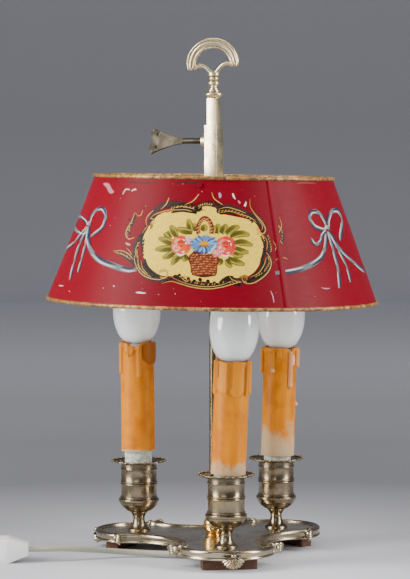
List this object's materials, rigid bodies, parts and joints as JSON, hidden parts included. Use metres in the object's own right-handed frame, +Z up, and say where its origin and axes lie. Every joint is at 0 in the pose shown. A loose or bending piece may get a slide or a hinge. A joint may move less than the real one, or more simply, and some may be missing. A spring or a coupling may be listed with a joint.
{
  "type": "bouillotte lamp",
  "caption": "Bouillotte table lamp with candle lights on a lobed plated tray and a painted tole shade that slides on a square post under a loop handle.",
  "frame": {"origin": "on the post's axis at table level, under the centre of the shade", "axes": "+Z up along the post, -Y towards the front candle, +X to its right"},
  "size_m": [0.3716, 0.2513, 0.3834],
  "materials": {
    "silver_plate": "silver plate over brass, polished, tarnished in the hollows and rubbed through at the edges",
    "raw_brass": "plain brass, polished with a warm tarnish",
    "crimson_tole": "hand-painted crimson lacquer over tin sheet, satin, scuffed",
    "gilt_edge": "worn gilt paint over wired tin edge",
    "cork": "reddish cork, matt",
    "candle_card": "waxed card tube, orange, rubbed pale at the foot",
    "dull_zinc": "oxidised zinc, dull greenish white",
    "holder_porcelain": "unglazed porcelain",
    "opal_glass": "white opal glass, glossy",
    "cap_aluminium": "bright rolled thread",
    "block_plastic": "cream plastic",
    "plain_steel": "zinc-plated steel",
    "lead_sheath": "thin plastic sheath",
    "clear_flex": "translucent grey-green flex",
    "white_plastic": "white moulded plastic, slightly yellowed"
  },
  "bodies": {
    "lamp_base": {"base_tray": "silver_plate", "tray_border": "silver_plate", "shell_mounts": "silver_plate", "scroll_mounts": "silver_plate", "foot_pads": "cork", "centre_knop": "raw_brass", "post_rod": "silver_plate", "post_bar": "silver_plate", "post_nut": "raw_brass", "cup_nuts": "raw_brass", "finial_collar": "silver_plate", "carrying_handle": "silver_plate", "terminal_block": "block_plastic", "cord_clip": "block_plastic", "clip_screws": "plain_steel", "inner_leads": "lead_sheath", "cord_lead": "clear_flex", "cord_tail": "clear_flex", "cord_end": "clear_flex", "cord_coil": "clear_flex", "switch_lower": "white_plastic", "switch_upper": "white_plastic", "switch_screws": "plain_steel", "plug_body": "white_plastic", "plug_pins": "raw_brass", "candle_cup_front": "silver_plate", "drip_pan_front": "silver_plate", "clamp_bolt_front": "raw_brass", "inner_tube_front": "dull_zinc", "candle_sleeve_front": "candle_card", "lampholder_front": "holder_porcelain", "socket_contacts_front": "raw_brass", "candle_cup_right": "silver_plate", "drip_pan_right": "silver_plate", "clamp_bolt_right": "raw_brass", "inner_tube_right": "dull_zinc", "candle_sleeve_right": "candle_card", "lampholder_right": "holder_porcelain", "socket_contacts_right": "raw_brass", "candle_cup_left": "silver_plate", "drip_pan_left": "silver_plate", "clamp_bolt_left": "raw_brass", "inner_tube_left": "dull_zinc", "candle_sleeve_left": "candle_card", "lampholder_left": "holder_porcelain", "socket_contacts_left": "raw_brass"},
    "shade_carriage": {"slide_sleeve": "silver_plate", "shade_spider": "raw_brass", "shade_rivets": "raw_brass", "shade_skin": "crimson_tole", "shade_top_wire": "gilt_edge", "shade_bottom_wire": "gilt_edge"},
    "thumb_key": {"thumb_key": "silver_plate"},
    "bulb_front": {"bulb_glass_front": "opal_glass", "bulb_cap_front": "cap_aluminium"},
    "bulb_right": {"bulb_glass_right": "opal_glass", "bulb_cap_right": "cap_aluminium"},
    "bulb_left": {"bulb_glass_left": "opal_glass", "bulb_cap_left": "cap_aluminium"},
    "rocker": {"switch_rocker": "white_plastic"}
  },
  "joints": [
    {"name": "shade_slide", "type": "slide", "parent": "lamp_base", "child": "shade_carriage", "axis": [0, 0, 1], "range_m": [-0.035, 0.018]},
    {"name": "key_turn", "type": "hinge", "parent": "shade_carriage", "child": "thumb_key", "pos_m": [0, 0, 0.3074], "axis": [-0.7934, 0.6088, 0], "range_deg": [0, 270]},
    {"name": "bulb_turn_front", "type": "hinge", "parent": "lamp_base", "child": "bulb_front", "pos_m": [0, -0.0607, 0.0336], "axis": [0.0414, -0.0062, 0.9991], "range_deg": [0, 360]},
    {"name": "bulb_turn_right", "type": "hinge", "parent": "lamp_base", "child": "bulb_right", "pos_m": [0.05257, 0.03035, 0.0336], "axis": [0.0259, -0.0039, 0.9997], "range_deg": [0, 360]},
    {"name": "bulb_turn_left", "type": "hinge", "parent": "lamp_base", "child": "bulb_left", "pos_m": [-0.05257, 0.03035, 0.0336], "axis": [-0.0104, 0.0015, 0.9999], "range_deg": [0, 360]},
    {"name": "rocker_press", "type": "hinge", "parent": "lamp_base", "child": "rocker", "pos_m": [-0.1704, -0.016, 0.014], "axis": [-0.1478, -0.989, 0], "range_deg": [0, 14]}
  ]
}
